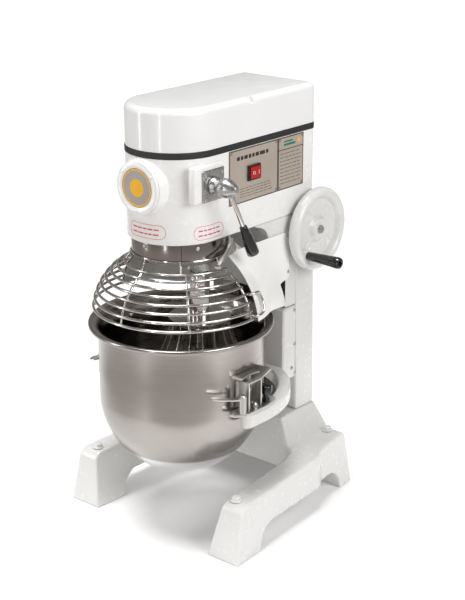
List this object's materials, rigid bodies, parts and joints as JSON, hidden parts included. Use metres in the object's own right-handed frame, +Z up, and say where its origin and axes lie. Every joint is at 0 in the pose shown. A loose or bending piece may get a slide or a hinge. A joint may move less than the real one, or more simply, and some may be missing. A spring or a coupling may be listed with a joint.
{
  "type": "commercial stand mixer",
  "caption": "Floor-standing planetary mixer: enamelled cast column and head over a lifting yoke, steel bowl, balloon whisk, swinging wire guard, gear lever and lift handwheel.",
  "frame": {"origin": "on the floor, below the centre of the whole machine's bounding box", "axes": "+Z up; the operator stands at -Y, in front of the bowl; +X is the operator's right, the side of the handwheel and gear lever"},
  "size_m": [0.441, 0.5432, 0.844],
  "materials": {
    "badge_grey": "satin grey",
    "black_plastic": "gloss black",
    "black_rubber": "matt black rubber",
    "bronze": "cast bronze",
    "brushed_steel": "satin stainless steel",
    "cast_white": "gloss white enamel on cast iron",
    "cover_enamel": "gloss white enamel",
    "machined_steel": "machined steel",
    "motor_grey": "satin grey paint",
    "panel_metal": "satin champagne anodised",
    "polished_steel": "polished stainless steel",
    "red_plastic": "gloss red",
    "white_enamel": "gloss white stove enamel"
  },
  "bodies": {
    "root": {"base_casting": "cast_white", "front_bolt_right": "machined_steel", "front_bolt_left": "machined_steel", "rear_bolt_right": "machined_steel", "rear_bolt_left": "machined_steel", "column_casting": "cast_white", "slideway": "machined_steel", "head_casting": "cast_white", "trim_band": "black_rubber", "top_cover": "cover_enamel", "attachment_hub": "white_enamel", "hub_badge": "badge_grey", "control_panel": "panel_metal", "rating_plate": "panel_metal", "switch_bezel": "black_plastic", "gear_plate": "machined_steel", "collar": "polished_steel", "ring_gear": "machined_steel", "main_bearing": "machined_steel", "motor": "motor_grey", "drive_belt": "black_rubber", "shield_right": "white_enamel", "shield_left": "white_enamel", "shield_back": "white_enamel", "interlock_arm": "machined_steel"},
    "guard": {"wire_guard": "polished_steel"},
    "handwheel": {"handwheel": "white_enamel", "wheel_shaft": "machined_steel"},
    "crank_grip": {"crank_grip": "black_plastic"},
    "lift_screw": {"lift_screw": "machined_steel"},
    "carriage": {"carriage": "cast_white", "lift_nut": "bronze", "locating_pin_right": "machined_steel", "locating_pin_left": "machined_steel", "ear_plate_right": "polished_steel", "ear_plate_left": "polished_steel", "bowl": "brushed_steel", "bowl_bracket_right": "polished_steel", "bowl_bracket_left": "polished_steel"},
    "clamp_right": {"clamp_lever_right": "polished_steel"},
    "clamp_left": {"clamp_lever_left": "polished_steel"},
    "knob_right": {"star_knob_right": "black_plastic"},
    "knob_left": {"star_knob_left": "black_plastic"},
    "gear_lever": {"lever_hub": "machined_steel", "lever_rod": "polished_steel", "lever_grip": "black_plastic"},
    "shift_fork": {"shift_fork": "bronze"},
    "dog_clutch": {"dog_clutch": "machined_steel"},
    "planetary": {"main_shaft": "machined_steel", "gear_slow": "machined_steel", "planet_carrier": "machined_steel"},
    "fast_gear": {"gear_fast": "machined_steel"},
    "agitator": {"agitator_shaft": "polished_steel", "planet_pinion": "machined_steel", "whisk": "polished_steel"},
    "input": {"input_shaft": "machined_steel", "input_pulley": "machined_steel"},
    "motor_rotor": {"motor_pulley": "machined_steel"},
    "rocker": {"rocker": "red_plastic"}
  },
  "joints": [
    {"name": "carriage_lift", "type": "slide", "parent": "root", "child": "carriage", "axis": [0, 0, 1], "range_m": [-0.07, 0]},
    {"name": "handwheel_spin", "type": "hinge", "parent": "root", "child": "handwheel", "pos_m": [0, 0.18765, 0.556], "axis": [1, 0, 0], "range_deg": [-2525, 5]},
    {"name": "lift_screw_spin", "type": "hinge", "parent": "root", "child": "lift_screw", "pos_m": [0, 0.16915, 0.3], "axis": [0, 0, 1], "range_deg": [-5, 2525]},
    {"name": "crank_grip_spin", "type": "hinge", "parent": "handwheel", "child": "crank_grip", "pos_m": [0.16, 0.14065, 0.513], "axis": [1, 0, 0], "continuous": true},
    {"name": "guard_swing", "type": "hinge", "parent": "root", "child": "guard", "pos_m": [0, -0.09335, 0.5], "axis": [0, 0, 1], "range_deg": [-60, 0]},
    {"name": "planetary_spin", "type": "hinge", "parent": "root", "child": "planetary", "pos_m": [0, -0.09335, 0.56], "axis": [0, 0, 1], "continuous": true},
    {"name": "agitator_spin", "type": "hinge", "parent": "planetary", "child": "agitator", "pos_m": [0.048, -0.09335, 0.5], "axis": [0, 0, 1], "continuous": true},
    {"name": "fast_gear_spin", "type": "hinge", "parent": "root", "child": "fast_gear", "pos_m": [0, -0.09335, 0.643], "axis": [0, 0, 1], "continuous": true},
    {"name": "input_shaft_spin", "type": "hinge", "parent": "root", "child": "input", "pos_m": [0, -0.01835, 0.7], "axis": [0, 0, 1], "continuous": true},
    {"name": "motor_spin", "type": "hinge", "parent": "root", "child": "motor_rotor", "pos_m": [0, 0.12165, 0.78], "axis": [0, 0, 1], "continuous": true},
    {"name": "gear_lever_turn", "type": "hinge", "parent": "root", "child": "gear_lever", "pos_m": [0.1056, -0.11835, 0.704], "axis": [1, 0, 0], "range_deg": [-50, 0]},
    {"name": "shift_fork_slide", "type": "slide", "parent": "root", "child": "shift_fork", "axis": [0, 0, 1], "range_m": [-0.0135, 0.0005]},
    {"name": "dog_clutch_slide", "type": "slide", "parent": "planetary", "child": "dog_clutch", "axis": [0, 0, 1], "range_m": [-0.0135, 0.0005]},
    {"name": "rocker_tilt", "type": "hinge", "parent": "root", "child": "rocker", "pos_m": [0.095, 0.0089, 0.70325], "axis": [0, 0, 1], "range_deg": [0, 8]},
    {"name": "clamp_lever_right_swing", "type": "hinge", "parent": "carriage", "child": "clamp_right", "pos_m": [0.182, -0.12935, 0.284], "axis": [0, 0, 1], "range_deg": [0, 75]},
    {"name": "clamp_lever_left_swing", "type": "hinge", "parent": "carriage", "child": "clamp_left", "pos_m": [-0.182, -0.12935, 0.284], "axis": [0, 0, 1], "range_deg": [-75, 0]},
    {"name": "star_knob_right_turn", "type": "hinge", "parent": "carriage", "child": "knob_right", "pos_m": [0.18, -0.05735, 0.284], "axis": [0, 0, 1], "continuous": true},
    {"name": "star_knob_left_turn", "type": "hinge", "parent": "carriage", "child": "knob_left", "pos_m": [-0.18, -0.05735, 0.284], "axis": [0, 0, 1], "continuous": true}
  ],
  "couplings": [
    {"joint": "handwheel_spin", "follows": "carriage_lift", "rad_per_m": 628.32},
    {"joint": "lift_screw_spin", "follows": "carriage_lift", "rad_per_m": -628.32},
    {"joint": "agitator_spin", "follows": "planetary_spin", "ratio": -3},
    {"joint": "fast_gear_spin", "follows": "planetary_spin", "ratio": 2},
    {"joint": "input_shaft_spin", "follows": "planetary_spin", "ratio": -2},
    {"joint": "motor_spin", "follows": "planetary_spin", "ratio": -4},
    {"joint": "shift_fork_slide", "follows": "gear_lever_turn", "m_per_rad": 0.0149},
    {"joint": "dog_clutch_slide", "follows": "gear_lever_turn", "m_per_rad": 0.0149}
  ]
}
